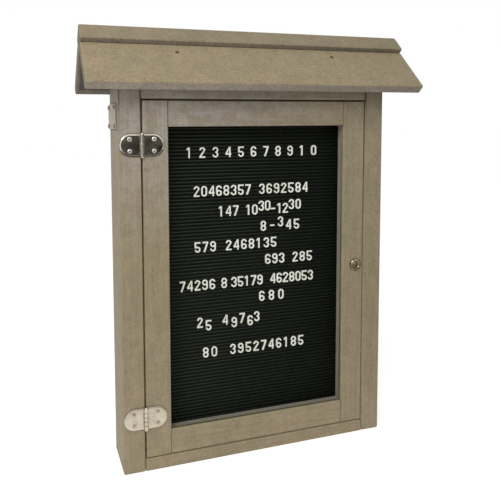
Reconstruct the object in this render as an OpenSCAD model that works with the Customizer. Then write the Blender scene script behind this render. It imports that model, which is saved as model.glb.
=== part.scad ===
// Outdoor letter board: a wall or post cabinet of plastic lumber with a gabled roof,
// one glazed door on two butt hinges, a cam lock and a grooved panel for press-in numerals.
// Frame: origin at the centre of the case's underside, +Z up, the door faces -Y.

/* [Case] */
// Width of the case over its side boards
case_w = 508; // [440:2:600]
// Depth of the case, which is the width of the side boards
case_d = 89; // [86:1:120]
// Height of the case from its underside to the top of the top board
case_h = 685.5; // [640:0.5:800]
// Thickness of the side boards and the top board
board_t = 38; // [34:0.5:44]
// Thickness of the bottom board
bottom_t = 22.5; // [20:0.5:30]
// Rounding along the edges of the thick lumber
edge_r = 3; // [1.5:0.5:4]

/* [Roof] */
// Length of the roof along the ridge
roof_len = 622; // [610:2:720]
// Side of the square ridge beam, which is laid on its corner
ridge_side = 36; // [32:0.5:42]
// Thickness of the two roof boards
roof_board_t = 18; // [15:0.5:22]
// Width of the two roof boards down the slope
roof_board_w = 99; // [90:1:130]
// Height of the roof's underside over the top board at the case's front
eave_rise = 5.8; // [3:0.2:12]
// Thickness of the two roof blocks
block_t = 38; // [30:1:46]
// Distance from the case's side to the middle of each roof block
block_inset = 105; // [75:1:140]
// Distance from the top edge of a roof board to its screws
roof_screw_drop = 21; // [14:1:26]

/* [Letter panel] */
// Depth from the front of the case to the face of the letter panel
panel_depth = 34; // [33:0.5:36]
// Thickness of the letter panel
panel_t = 8; // [6:0.5:10]
// Distance from groove to groove
groove_pitch = 6.35; // [5.5:0.05:8]
// Width of each groove
groove_w = 2.2; // [1.6:0.1:2.6]
// Depth of each groove
groove_depth = 3.5; // [2.6:0.1:4]
// Room left at each side of the letter panel
panel_room = 0.8; // [0.4:0.1:2]
// Thickness of the back panel
back_t = 12; // [9:0.5:16]
// Width of the two battens between the panels
batten_w = 19; // [15:0.5:28]
// Width of the door stops
stop_w = 10; // [8:0.5:12]
// Room between the closed door and its stops
stop_room = 0.5; // [0.3:0.1:0.9]

/* [Door] */
// Thickness of the door
door_t = 19; // [18:0.5:20]
// Gap all round the door
door_gap = 2.5; // [2:0.1:4]
// Width of the door's stiles and rails
member_w = 44.5; // [42:0.5:60]
// Rounding along the edges of the door's stiles and rails
door_edge_r = 2; // [1:0.25:3]
// Depth from the door's face to the glazing
glass_set = 7; // [5:0.5:8]
// Thickness of the glazing
glass_t = 3; // [2:0.5:5]
// Width of the rebate that holds the glazing
rebate_w = 8; // [7:0.5:9]
// Room left between the glazing and the rebate at each side
glass_room = 0.8; // [0.4:0.1:1.5]
// Room left behind the glazing
glass_back_room = 0.25; // [0.1:0.05:0.6]
// Width of the glazing strips
strip_w = 14; // [13:0.5:14.5]
// Thickness of the glazing strips
strip_t = 3; // [2:0.25:3.5]
// Thickness of the lip on each glazing strip, which reaches in to the glazing
strip_lip_t = 2; // [1.5:0.25:2.5]

/* [Hinges] */
// Distance from the door's top edge to the middle of the upper hinge
upper_hinge_drop = 75; // [58:1:130]
// Distance from the door's lower edge to the middle of the lower hinge
lower_hinge_rise = 72; // [58:1:150]
// Height of a hinge leaf, which is also the diameter of its round end
leaf_h = 38; // [34:1:44]
// Thickness of a hinge leaf
leaf_t = 2; // [1.5:0.1:2.6]
// Outer diameter of the hinge knuckles
knuckle_d = 7.4; // [6.8:0.1:8.4]
// Diameter of the hinge pins
pin_d = 4; // [3:0.1:4.4]
// Running clearance round the hinge pins
pin_clear = 0.05; // [0.02:0.01:0.08]
// Diameter of the hinge pins' heads
pin_head_d = 6.4; // [5.6:0.1:6.8]
// Height of the hinge pins' heads
pin_head_h = 2.3; // [1.5:0.1:3]
// Gap between neighbouring knuckles
knuckle_gap = 0.35; // [0.3:0.05:0.6]
// Distance from the hinge axis to the leaf's screws
leaf_screw_x = 21; // [18:0.5:23]
// Height between the two screws of one leaf
leaf_screw_gap = 20; // [17:0.5:22]

/* [Lock] */
// Height of the lock's axis
lock_z = 334.5; // [250:0.5:420]
// Distance from the door's edge to the lock's axis
lock_inset = 15.5; // [15:0.25:16.5]
// Diameter of the lock's head
lock_head_d = 22; // [20:0.5:24]
// Height of the lock's head over the door
lock_head_h = 3.5; // [2.5:0.25:5]
// Diameter of the lock's barrel
lock_barrel_d = 18; // [16:0.25:18.5]
// Diameter of the lock's turning plug
plug_d = 12; // [10:0.25:13]
// Running clearance round the plug
plug_clear = 0.05; // [0.02:0.01:0.08]
// Width across the flats of the lock's nut
nut_af = 22; // [21:0.25:23]
// Thickness of the lock's nut
nut_t = 4; // [3:0.25:4.5]
// Reach of the cam from the lock's axis
cam_reach = 30; // [26:0.5:32]
// Width of the cam
cam_w = 14; // [11:0.5:15]
// Thickness of the cam
cam_t = 2; // [1.5:0.25:2.5]
// Height of the slot that takes the cam, front to back
slot_w = 7; // [6:0.25:8]

/* [Side plates] */
// Distance from the top of the case to the middle of the side plates
side_plate_drop = 67; // [64:0.5:120]
// Width of the side plates, front to back
side_plate_w = 72; // [60:1:76]
// Height of the side plates
side_plate_h = 43; // [36:1:50]
// Thickness of the side plates
side_plate_t = 2.5; // [1.5:0.25:4]
// Distance from a plate's edge to its screws, front to back
side_plate_margin = 8; // [6:0.5:10]
// Distance from a plate's edge to its screws, up and down
side_plate_margin_z = 5.5; // [4.5:0.5:8]
// Room between a side plate and the back of the case
side_plate_setback = 1; // [0:0.5:8]
// Rounding of the side plates' corners
side_plate_r = 3; // [1:0.5:5]

/* [Fixing holes] */
// Diameter of the four fixing holes in the back panel
fix_d = 8; // [6:0.5:10]
// Width between the fixing holes
fix_gap_x = 300; // [240:5:320]
// Height between the fixing holes
fix_gap_z = 450; // [400:5:500]

/* [Numerals] */
// Height of a numeral
digit_h = 19; // [17:0.25:20]
// Width of the strokes
stroke = 2.6; // [2:0.1:3]
// Thickness of the numerals
digit_t = 2.4; // [1.6:0.1:3]
// Distance from one numeral to the next
digit_step = 14.2; // [13.5:0.1:15]

/* [Hidden] */
$fn = 48;
eps = 0.01;

// Case: inner sides, front and back
front_y = -case_d / 2;
back_y = case_d / 2;
side_x = case_w / 2;
inner_x = side_x - board_t;
inner_top = case_h - board_t;
inner_h = inner_top - bottom_t;

// Roof: the beam's middle, the roof's underside at the ridge and the beam's lowest corner
slope = 45;
roof_inner_z = case_h + eave_rise + case_d / 2;
ridge_z = roof_inner_z + roof_board_t / 2 * sqrt(2);
ridge_low = ridge_z - ridge_side / sqrt(2);

// Letter panel, battens and stops
panel_y = front_y + panel_depth;
batten_y = panel_y + panel_t;
batten_d = back_y - back_t - batten_y;
panel_w = 2 * (inner_x - panel_room);
panel_h = inner_h - 2 * panel_room;
groove_count = floor((panel_h - 2 * groove_pitch) / groove_pitch);
groove_top = bottom_t + inner_h / 2 + (groove_count - 1) / 2 * groove_pitch;
stop_y = front_y + door_t + stop_room;
stop_d = panel_y - stop_y;
stop_break = 36;

// Door
door_x = inner_x - door_gap;
door_low = bottom_t + door_gap;
door_top = inner_top - door_gap;
door_h = door_top - door_low;
door_mid = (door_low + door_top) / 2;
window_x = door_x - member_w;
window_low = door_low + member_w;
window_top = door_top - member_w;
door_back = front_y + door_t;
rebate_d = door_t - glass_set;
glass_y = door_back - rebate_d;
strip_in = 2;
strip_out = strip_in + strip_w;
strip_lip_y = glass_y + glass_t + glass_back_room;
strip_lip_d = door_back + strip_t - strip_lip_y;
strip_margin = 4;

// Screws: head diameter, shank diameter and the clearance round both
fit_clear = 0.1;
small_head = 6;
small_shank = 3;
large_head = 9;
large_shank = 4.5;
hinge_head = 8.2;
hinge_shank = 4;
roof_head = 8;
roof_shank = 4.2;
plate_shank = 4;
pan_head = 7.5;
pan_h = 2.4;
small_pan_h = 1.8;
recess_w = 1;

// Hinges: the axis stands over the middle of the gap, its knuckles touch the front's plane
upper_hinge_z = door_top - upper_hinge_drop;
lower_hinge_z = door_low + lower_hinge_rise;
axis_x = -inner_x + door_gap / 2;
axis_y = front_y - knuckle_d / 2;
knuckle_h = (leaf_h - 4 * knuckle_gap) / 5;
leaf_cut = 0.5;

// Lock
lock_x = door_x - lock_inset;
barrel_end = door_t + nut_t + 1;
cam_start = barrel_end + 1;
cam_y = front_y + cam_start;
slot_depth = 18;
slot_above = 11;
slot_below = 29;
plug_recess = 0.3;
cam_bolt_d = 5;
cam_bolt_af = 8;
cam_bolt_h = 3;
cam_bolt_len = 10;

// Side plates
side_plate_z = case_h - side_plate_drop;
plate_y = back_y - side_plate_setback - side_plate_w / 2;
plate_row_y = side_plate_w - 2 * side_plate_margin;
plate_row_z = side_plate_h - 2 * side_plate_margin_z;

// Places of the repeated screws
end_gap = 50;
roof_screw_xs = [-side_x + block_inset, side_x - block_inset];
case_screw_ys = [-case_d * 0.28, case_d * 0.28];
back_screw_zs = [bottom_t + end_gap, bottom_t + inner_h / 2, inner_top - end_gap];
upper_stop_zs = [lock_z + stop_break + end_gap, inner_top - end_gap];
lower_stop_zs = [bottom_t + end_gap, lock_z - stop_break - end_gap];
long_stop_zs = [bottom_t + end_gap, lock_z, inner_top - end_gap];
cross_stop_xs = [-inner_x + end_gap, 0, inner_x - end_gap];
side_strip_step = (door_h / 2 - member_w + strip_margin) / 2;
side_strip_zs = [for (k = [-2:2]) door_mid + k * side_strip_step];
cross_strip_xs = [-window_x * 0.8, 0, window_x * 0.8];
door_screw_steps = [0.22 * member_w, 0.63 * member_w];

lumber_grey = [0.66, 0.61, 0.53];
roof_tan = [0.70, 0.65, 0.54];
metal_grey = [0.72, 0.73, 0.74];

// A lumber section, w along x and d along y, with its long edges rounded
module section(w, d, r) {
  square([w - 2 * r, d], center = true);
  square([w, d - 2 * r], center = true);
  for (sx = [-1, 1], sy = [-1, 1])
    translate([sx * (w / 2 - r), sy * (d / 2 - r)])
      circle(r);
}

// Lumber lying along x, with its middle at the origin
module lumber_x(len, d, h, r) {
  rotate([90, 0, 90])
    linear_extrude(len, center = true)
      section(d, h, r);
}

// Lumber standing along z, with its foot at z = 0
module lumber_z(w, d, len, r) {
  linear_extrude(len)
    section(w, d, r);
}

// Two crossed slots in the head of a screw that points down
module cross_recess(d, depth) {
  translate([-d * 0.3, -recess_w / 2, -depth])
    cube([d * 0.6, recess_w, depth + 1]);
  translate([-recess_w / 2, -d * 0.3, -depth])
    cube([recess_w, d * 0.6, depth + 1]);
}

// A countersunk screw, its flat head at z = 0, pointing down
module flat_screw(head, shank, len) {
  sink = (head - shank) / 2;
  difference() {
    union() {
      translate([0, 0, -sink])
        cylinder(h = sink, d1 = shank, d2 = head);
      translate([0, 0, -len])
        cylinder(h = len - sink + eps, d = shank);
    }
    cross_recess(head, sink * 0.7);
  }
}

// The hole for a countersunk screw, with its clearance
module flat_hole(head, shank, len) {
  sink = (head - shank) / 2;
  translate([0, 0, -sink])
    cylinder(h = sink, d1 = shank + 2 * fit_clear, d2 = head + 2 * fit_clear);
  translate([0, 0, -eps])
    cylinder(h = 2, d = head + 2 * fit_clear);
  translate([0, 0, -len - 1])
    cylinder(h = len + 1, d = shank + 2 * fit_clear);
}

// A pan-head screw, the underside of its head at z = 0, pointing down
module pan_screw(head, tall, shank, len) {
  difference() {
    union() {
      cylinder(h = tall * 0.55, d = head);
      translate([0, 0, tall * 0.55])
        cylinder(h = tall * 0.45, d1 = head, d2 = head * 0.66);
      translate([0, 0, -len])
        cylinder(h = len + eps, d = shank);
    }
    translate([0, 0, tall])
      cross_recess(head, tall * 0.6);
  }
}

// The hole under a pan-head screw
module pan_hole(shank, len) {
  translate([0, 0, -len - 1])
    cylinder(h = len + 4, d = shank + 2 * fit_clear);
}

// Puts a screw that points down at p so that it points forwards, backwards or sideways
module face_front(p) {
  translate(p)
    rotate([90, 0, 0])
      children();
}

module face_back(p) {
  translate(p)
    rotate([-90, 0, 0])
      children();
}

module face_side(p, side) {
  translate(p)
    rotate([0, side * 90, 0])
      children();
}

// The places of every kind of screw
module at_case_screws(side) {
  for (z = [bottom_t / 2, case_h - board_t / 2], y = case_screw_ys)
    face_side([side * side_x, y, z], side)
      children();
}

module at_plate_screws(side) {
  for (sy = [-1, 1], sz = [-1, 1]) {
    hole_y = plate_y + sy * plate_row_y / 2;
    hole_z = side_plate_z + sz * plate_row_z / 2;
    face_side([side * (side_x + side_plate_t), hole_y, hole_z], side)
      children();
  }
}

module at_roof_screws(side) {
  along = ridge_side / 2 + roof_screw_drop;
  for (x = roof_screw_xs)
    translate([x, 0, ridge_z])
      rotate([-side * slope, 0, 0])
        translate([0, side * along, roof_board_t / 2])
          children();
}

module at_back_screws() {
  for (sx = [-1, 1], z = back_screw_zs)
    face_back([sx * (inner_x - batten_w / 2), back_y, z])
      children();
}

module at_left_stop_screws() {
  for (z = long_stop_zs)
    face_side([-inner_x + stop_w, stop_y + stop_d / 2, z], 1)
      children();
}

module at_right_stop_screws(zs) {
  for (z = zs)
    face_side([inner_x - stop_w, stop_y + stop_d / 2, z], -1)
      children();
}

module at_top_stop_screws() {
  for (x = cross_stop_xs)
    translate([x, stop_y + stop_d / 2, inner_top - stop_w])
      rotate([180, 0, 0])
        children();
}

module at_bottom_stop_screws() {
  for (x = cross_stop_xs)
    translate([x, stop_y + stop_d / 2, bottom_t + stop_w])
      children();
}

module at_hinge_screws(side) {
  for (z = [upper_hinge_z, lower_hinge_z], sz = [-1, 1])
    face_front([axis_x + side * leaf_screw_x, front_y - leaf_t, z + sz * leaf_screw_gap / 2])
      children();
}

module at_door_screws(side) {
  for (end = [-1, 1], step = door_screw_steps) {
    screw_z = door_mid + end * (door_h / 2 - step);
    face_side([side * door_x, front_y + door_t / 2, screw_z], side)
      children();
  }
}

module at_side_strip_screws(side) {
  for (z = side_strip_zs)
    face_back([side * (window_x + strip_out - strip_margin), door_back + strip_t, z])
      children();
}

module at_cross_strip_screws(z) {
  for (x = cross_strip_xs)
    face_back([x, door_back + strip_t, z])
      children();
}

// Heights of the screws in the top and bottom strips, and the lengths of all screws
top_strip_z = window_top + strip_out - strip_margin;
bottom_strip_z = window_low - strip_out + strip_margin;
long_bite = 36;
short_bite = 11;
door_screw_len = member_w + long_bite;
case_screw_len = board_t + long_bite;
back_screw_len = back_t + 2 * short_bite;
roof_screw_len = roof_board_t + 2 * short_bite;
plate_screw_len = side_plate_t + 2 * short_bite;
stop_screw_len = stop_w + short_bite;
strip_screw_len = strip_t + short_bite;
hinge_screw_len = leaf_t + short_bite;

// The outline of the roof's underside over the case, y to the right and z up
module gable(low) {
  notch = (roof_inner_z - ridge_low) / 2;
  half = case_d / 2;
  polygon([
    [-half, low],
    [half, low],
    [half, roof_inner_z - half],
    [notch, roof_inner_z - notch],
    [0, ridge_low],
    [-notch, roof_inner_z - notch],
    [-half, roof_inner_z - half]
  ]);
}

// A side board: full height, its head cut to the roof
module side_board(side) {
  difference() {
    intersection() {
      translate([side * (side_x - board_t / 2), 0, 0])
        lumber_z(board_t, case_d, roof_inner_z, edge_r);
      rotate([90, 0, 90])
        linear_extrude(case_w + 2, center = true)
          gable(0);
    }
    at_case_screws(side)
      flat_hole(large_head, large_shank, case_screw_len);
    at_plate_screws(side)
      pan_hole(plate_shank, plate_screw_len);
  }
}

module side_board_left() {
  color(lumber_grey)
    difference() {
      side_board(-1);
      at_left_stop_screws()
        flat_hole(small_head, small_shank, stop_screw_len);
      at_hinge_screws(-1)
        flat_hole(hinge_head, hinge_shank, hinge_screw_len);
    }
}

module side_board_right() {
  color(lumber_grey)
    difference() {
      side_board(1);
      at_right_stop_screws(concat(upper_stop_zs, lower_stop_zs))
        flat_hole(small_head, small_shank, stop_screw_len);
      translate([inner_x - 1, cam_y + cam_t / 2 - slot_w / 2, lock_z - slot_below])
        cube([slot_depth + 1, slot_w, slot_below + slot_above]);
    }
}

module bottom_board() {
  color(lumber_grey)
    difference() {
      translate([0, 0, bottom_t / 2])
        lumber_x(2 * inner_x, case_d, bottom_t, edge_r);
      for (side = [-1, 1])
        at_case_screws(side)
          flat_hole(large_head, large_shank, case_screw_len);
      at_bottom_stop_screws()
        flat_hole(small_head, small_shank, stop_screw_len);
    }
}

module top_board() {
  color(lumber_grey)
    difference() {
      translate([0, 0, case_h - board_t / 2])
        lumber_x(2 * inner_x, case_d, board_t, edge_r);
      for (side = [-1, 1])
        at_case_screws(side)
          flat_hole(large_head, large_shank, case_screw_len);
      at_top_stop_screws()
        flat_hole(small_head, small_shank, stop_screw_len);
    }
}

module back_panel() {
  color(lumber_grey)
    difference() {
      translate([-inner_x, back_y - back_t, bottom_t])
        cube([2 * inner_x, back_t, inner_h]);
      at_back_screws()
        flat_hole(small_head, small_shank, back_screw_len);
      for (sx = [-1, 1], sz = [-1, 1])
        translate([sx * fix_gap_x / 2, back_y + 1, bottom_t + inner_h / 2 + sz * fix_gap_z / 2])
          rotate([90, 0, 0])
            cylinder(h = back_t + 2, d = fix_d);
    }
}

// A batten between the back panel and the letter panel
module batten(side) {
  color(lumber_grey)
    difference() {
      translate([side * (inner_x - batten_w / 2), batten_y + batten_d / 2, bottom_t])
        lumber_z(batten_w, batten_d, inner_h, door_edge_r);
      at_back_screws()
        flat_hole(small_head, small_shank, back_screw_len);
    }
}

// The grooved panel, its outline drawn side on and drawn out along x
module letter_panel() {
  low = bottom_t + panel_room;
  high = low + panel_h;
  steps = [for (k = [0:groove_count - 1]) groove_top - (groove_count - 1 - k) * groove_pitch];
  teeth = [for (z = steps)
    each [
      [panel_y, z - groove_w / 2],
      [panel_y + groove_depth, z - groove_w / 2],
      [panel_y + groove_depth, z + groove_w / 2],
      [panel_y, z + groove_w / 2]
    ]
  ];
  frame = [[batten_y, high], [batten_y, low], [panel_y, low]];
  color([0.06, 0.07, 0.06])
    rotate([90, 0, 90])
      linear_extrude(panel_w, center = true)
        polygon(concat(frame, teeth, [[panel_y, high]]));
}

module stop_side(side, low, high) {
  edge = side < 0 ? -inner_x : inner_x - stop_w;
  translate([edge, stop_y, low])
    cube([stop_w, stop_d, high - low]);
}

module door_stop_left() {
  color(lumber_grey)
    difference() {
      stop_side(-1, bottom_t, inner_top);
      at_left_stop_screws()
        flat_hole(small_head, small_shank, stop_screw_len);
    }
}

module door_stop_right_upper() {
  color(lumber_grey)
    difference() {
      stop_side(1, lock_z + stop_break, inner_top);
      at_right_stop_screws(upper_stop_zs)
        flat_hole(small_head, small_shank, stop_screw_len);
    }
}

module door_stop_right_lower() {
  color(lumber_grey)
    difference() {
      stop_side(1, bottom_t, lock_z - stop_break);
      at_right_stop_screws(lower_stop_zs)
        flat_hole(small_head, small_shank, stop_screw_len);
    }
}

module door_stop_top() {
  color(lumber_grey)
    difference() {
      translate([-inner_x + stop_w, stop_y, inner_top - stop_w])
        cube([2 * (inner_x - stop_w), stop_d, stop_w]);
      at_top_stop_screws()
        flat_hole(small_head, small_shank, stop_screw_len);
    }
}

module door_stop_bottom() {
  color(lumber_grey)
    difference() {
      translate([-inner_x + stop_w, stop_y, bottom_t])
        cube([2 * (inner_x - stop_w), stop_d, stop_w]);
      at_bottom_stop_screws()
        flat_hole(small_head, small_shank, stop_screw_len);
    }
}

// A roof board: its upper edge butts against the beam's lower face
module roof_board(side) {
  color(roof_tan)
    difference() {
      translate([0, 0, ridge_z])
        rotate([-side * slope, 0, 0])
          translate([0, side * (ridge_side + roof_board_w) / 2, 0])
            lumber_x(roof_len, roof_board_w, roof_board_t, edge_r);
      at_roof_screws(side)
        flat_hole(roof_head, roof_shank, roof_screw_len);
    }
}

module ridge_beam() {
  color(roof_tan)
    translate([0, 0, ridge_z])
      rotate([slope, 0, 0])
        lumber_x(roof_len, ridge_side, ridge_side, edge_r / 2);
}

// A gable-shaped block that carries the roof boards on the top board
module roof_block(side) {
  color(lumber_grey)
    difference() {
      translate([side * (side_x - block_inset), 0, 0])
        rotate([90, 0, 90])
          linear_extrude(block_t, center = true)
            gable(case_h);
      for (face = [-1, 1])
        at_roof_screws(face)
          flat_hole(roof_head, roof_shank, roof_screw_len);
    }
}

// A side plate with rounded corners
module side_plate(side) {
  color(metal_grey)
    difference() {
      translate([side * side_x, plate_y, side_plate_z])
        rotate([0, side * 90, 0])
          linear_extrude(side_plate_t)
            section(side_plate_h, side_plate_w, side_plate_r);
      at_plate_screws(side)
        pan_hole(plate_shank, plate_screw_len);
    }
}

module plate_screws() {
  color(metal_grey)
    for (side = [-1, 1])
      at_plate_screws(side)
        pan_screw(pan_head, pan_h, plate_shank, plate_screw_len);
}

module roof_screws() {
  color(metal_grey)
    for (side = [-1, 1])
      at_roof_screws(side)
        flat_screw(roof_head, roof_shank, roof_screw_len);
}

module case_screws() {
  color(metal_grey)
    for (side = [-1, 1])
      at_case_screws(side)
        flat_screw(large_head, large_shank, case_screw_len);
}

module back_screws() {
  color(metal_grey)
    at_back_screws()
      flat_screw(small_head, small_shank, back_screw_len);
}

module stop_screws() {
  color(metal_grey) {
    at_left_stop_screws()
      flat_screw(small_head, small_shank, stop_screw_len);
    at_right_stop_screws(concat(upper_stop_zs, lower_stop_zs))
      flat_screw(small_head, small_shank, stop_screw_len);
    at_top_stop_screws()
      flat_screw(small_head, small_shank, stop_screw_len);
    at_bottom_stop_screws()
      flat_screw(small_head, small_shank, stop_screw_len);
  }
}

// One hinge leaf, drawn from the front: straight at the barrel, half round at its end
module leaf_outline(side) {
  start = knuckle_d / 2 + leaf_cut;
  intersection() {
    union() {
      translate([side * leaf_h / 4, 0])
        square([leaf_h / 2, leaf_h], center = true);
      translate([side * leaf_h / 2, 0])
        circle(d = leaf_h, $fn = 96);
    }
    translate([side * (start + leaf_h), 0])
      square([2 * leaf_h, 2 * leaf_h], center = true);
  }
}

// A hinge leaf: side is -1 on the case and 1 on the door, slots number its knuckles from 0
module hinge_leaf(side, z, slots) {
  start = knuckle_d / 2 + leaf_cut;
  color(metal_grey)
    difference() {
      union() {
        translate([axis_x, front_y, z])
          rotate([90, 0, 0])
            linear_extrude(leaf_t)
              leaf_outline(side);
        for (k = slots)
          translate([axis_x, axis_y, z - leaf_h / 2 + k * (knuckle_h + knuckle_gap)]) {
            cylinder(h = knuckle_h, d = knuckle_d);
            translate([side < 0 ? -start - 1 : 0, knuckle_d / 2 - leaf_t, 0])
              cube([start + 1, leaf_t, knuckle_h]);
          }
      }
      translate([axis_x, axis_y, z - leaf_h])
        cylinder(h = 2 * leaf_h, d = pin_d + 2 * pin_clear);
      at_hinge_screws(side)
        flat_hole(hinge_head, hinge_shank, hinge_screw_len);
    }
}

// A hinge pin with a low head at each end of the barrel
module hinge_pin(z) {
  color(metal_grey)
    translate([axis_x, axis_y, z]) {
      cylinder(h = leaf_h + 2 * eps, d = pin_d, center = true);
      for (end = [0, 180])
        rotate([end, 0, 0])
          translate([0, 0, leaf_h / 2]) {
            cylinder(h = pin_head_h * 0.6, d = pin_head_d);
            translate([0, 0, pin_head_h * 0.6])
              cylinder(h = pin_head_h * 0.4, d1 = pin_head_d, d2 = pin_head_d * 0.7);
          }
    }
}

module hinge_upper_case_leaf() {
  hinge_leaf(-1, upper_hinge_z, [0, 2, 4]);
}

module hinge_lower_case_leaf() {
  hinge_leaf(-1, lower_hinge_z, [0, 2, 4]);
}

module hinge_upper_door_leaf() {
  hinge_leaf(1, upper_hinge_z, [1, 3]);
}

module hinge_lower_door_leaf() {
  hinge_leaf(1, lower_hinge_z, [1, 3]);
}

module hinge_upper_pin() {
  hinge_pin(upper_hinge_z);
}

module hinge_lower_pin() {
  hinge_pin(lower_hinge_z);
}

module hinge_case_screws() {
  color(metal_grey)
    at_hinge_screws(-1)
      flat_screw(hinge_head, hinge_shank, hinge_screw_len);
}

module hinge_door_screws() {
  color(metal_grey)
    at_hinge_screws(1)
      flat_screw(hinge_head, hinge_shank, hinge_screw_len);
}

// The space in the door's back that takes the glazing
module rebate() {
  translate([-window_x - rebate_w, glass_y, window_low - rebate_w])
    cube([2 * (window_x + rebate_w), rebate_d + 1, window_top - window_low + 2 * rebate_w]);
}

module door_stile(side) {
  difference() {
    translate([side * (door_x - member_w / 2), front_y + door_t / 2, door_low])
      lumber_z(member_w, door_t, door_h, door_edge_r);
    rebate();
    at_door_screws(side)
      flat_hole(large_head, large_shank, door_screw_len);
    at_side_strip_screws(side)
      pan_hole(small_shank, strip_screw_len);
  }
}

module door_stile_left() {
  color(lumber_grey)
    difference() {
      door_stile(-1);
      at_hinge_screws(1)
        flat_hole(hinge_head, hinge_shank, hinge_screw_len);
    }
}

module door_stile_right() {
  color(lumber_grey)
    difference() {
      door_stile(1);
      translate([lock_x, front_y - 1, lock_z])
        rotate([-90, 0, 0])
          cylinder(h = door_t + 2, d = lock_barrel_d + 2 * fit_clear);
    }
}

module door_rail(z, screw_z) {
  color(lumber_grey)
    difference() {
      translate([0, front_y + door_t / 2, z])
        lumber_x(2 * window_x, door_t, member_w, door_edge_r);
      rebate();
      for (side = [-1, 1])
        at_door_screws(side)
          flat_hole(large_head, large_shank, door_screw_len);
      at_cross_strip_screws(screw_z)
        pan_hole(small_shank, strip_screw_len);
    }
}

module door_rail_top() {
  door_rail(door_top - member_w / 2, top_strip_z);
}

module door_rail_bottom() {
  door_rail(door_low + member_w / 2, bottom_strip_z);
}

module glazing() {
  glass_x = window_x + rebate_w - glass_room;
  glass_low = window_low - rebate_w + glass_room;
  glass_h = window_top - window_low + 2 * (rebate_w - glass_room);
  color([0.85, 0.92, 0.92, 0.25])
    translate([-glass_x, glass_y, glass_low])
      cube([2 * glass_x, glass_t, glass_h]);
}

// An angle down one side of the window: a flange on the door's back and a lip to the glazing
module glazing_strip_side(side) {
  window_h = window_top - window_low;
  lip_reach = strip_in + strip_lip_t;
  edge = side < 0 ? -window_x - strip_out : window_x + strip_in;
  lip_edge = side < 0 ? -window_x - lip_reach : window_x + strip_in;
  color(metal_grey)
    difference() {
      union() {
        translate([edge, door_back, window_low - strip_out])
          cube([strip_w, strip_t, window_h + 2 * strip_out]);
        translate([lip_edge, strip_lip_y, window_low - lip_reach])
          cube([strip_lip_t, strip_lip_d, window_h + 2 * lip_reach]);
      }
      at_side_strip_screws(side)
        pan_hole(small_shank, strip_screw_len);
    }
}

// The same angle across the window, between the two at its sides
module glazing_strip_cross(low, lip_low, screw_z) {
  half = window_x + strip_in;
  color(metal_grey)
    difference() {
      union() {
        translate([-half, door_back, low])
          cube([2 * half, strip_t, strip_w]);
        translate([-half, strip_lip_y, lip_low])
          cube([2 * half, strip_lip_d, strip_lip_t]);
      }
      at_cross_strip_screws(screw_z)
        pan_hole(small_shank, strip_screw_len);
    }
}

module glazing_strip_left() {
  glazing_strip_side(-1);
}

module glazing_strip_right() {
  glazing_strip_side(1);
}

module glazing_strip_top() {
  low = window_top + strip_in;
  glazing_strip_cross(low, low, top_strip_z);
}

module glazing_strip_bottom() {
  lip_low = window_low - strip_in - strip_lip_t;
  glazing_strip_cross(window_low - strip_out, lip_low, bottom_strip_z);
}

module strip_screws() {
  color(metal_grey) {
    for (side = [-1, 1])
      at_side_strip_screws(side)
        pan_screw(small_head, small_pan_h, small_shank, strip_screw_len);
    for (z = [top_strip_z, bottom_strip_z])
      at_cross_strip_screws(z)
        pan_screw(small_head, small_pan_h, small_shank, strip_screw_len);
  }
}

module door_screws() {
  color(metal_grey)
    for (side = [-1, 1])
      at_door_screws(side)
        flat_screw(large_head, large_shank, door_screw_len);
}

// The lock's fixed shell: a bevelled head in front of the door and a barrel through it
module lock_housing() {
  bevel = 1;
  color(metal_grey)
    translate([lock_x, front_y, lock_z])
      rotate([-90, 0, 0])
        difference() {
          union() {
            translate([0, 0, -lock_head_h])
              cylinder(h = bevel, d1 = lock_head_d - 3, d2 = lock_head_d);
            translate([0, 0, -lock_head_h + bevel])
              cylinder(h = lock_head_h - bevel, d = lock_head_d);
            cylinder(h = barrel_end, d = lock_barrel_d);
          }
          translate([0, 0, -lock_head_h - 1])
            cylinder(h = barrel_end + lock_head_h + 2, d = plug_d + 2 * plug_clear);
        }
}

module lock_nut() {
  color(metal_grey)
    translate([lock_x, door_back, lock_z])
      rotate([-90, 30, 0])
        difference() {
          cylinder(h = nut_t, d = nut_af / cos(30), $fn = 6);
          translate([0, 0, -1])
            cylinder(h = nut_t + 2, d = lock_barrel_d + 2 * fit_clear);
        }
}

// The turning plug, with its keyway in front and a hole for the cam's bolt behind
module lock_plug() {
  key_w = 2;
  key_h = 7.5;
  key_deep = 12;
  color(metal_grey)
    translate([lock_x, front_y, lock_z])
      rotate([-90, 0, 0])
        difference() {
          translate([0, 0, -lock_head_h + plug_recess])
            cylinder(h = cam_start + lock_head_h - plug_recess, d = plug_d);
          translate([-key_w / 2, -key_h / 2, -lock_head_h])
            cube([key_w, key_h, key_deep]);
          translate([0, 0, cam_start - cam_bolt_len])
            cylinder(h = cam_bolt_len + 1, d = cam_bolt_d + 2 * fit_clear);
        }
}

// The cam hangs straight down when the lock is open
module lock_cam() {
  color(metal_grey)
    translate([lock_x, cam_y, lock_z])
      rotate([-90, 0, 0])
        linear_extrude(cam_t)
          difference() {
            union() {
              circle(d = cam_w);
              translate([-cam_w / 2, 0])
                square([cam_w, cam_reach - cam_w / 2]);
              translate([0, cam_reach - cam_w / 2])
                circle(d = cam_w);
            }
            circle(d = cam_bolt_d + 2 * fit_clear);
          }
}

module cam_bolt() {
  color(metal_grey)
    translate([lock_x, cam_y + cam_t, lock_z])
      rotate([-90, 0, 0]) {
        cylinder(h = cam_bolt_h, d = cam_bolt_af / cos(30), $fn = 6);
        translate([0, 0, -cam_bolt_len])
          cylinder(h = cam_bolt_len + eps, d = cam_bolt_d);
      }
}

// Numerals are built from bars, slanted bars and rings; x from -bowl to bowl, y from 0 up
bowl = (digit_h + stroke) / 4;
low_c = bowl;
high_c = digit_h - bowl;
dash = 10;

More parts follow.
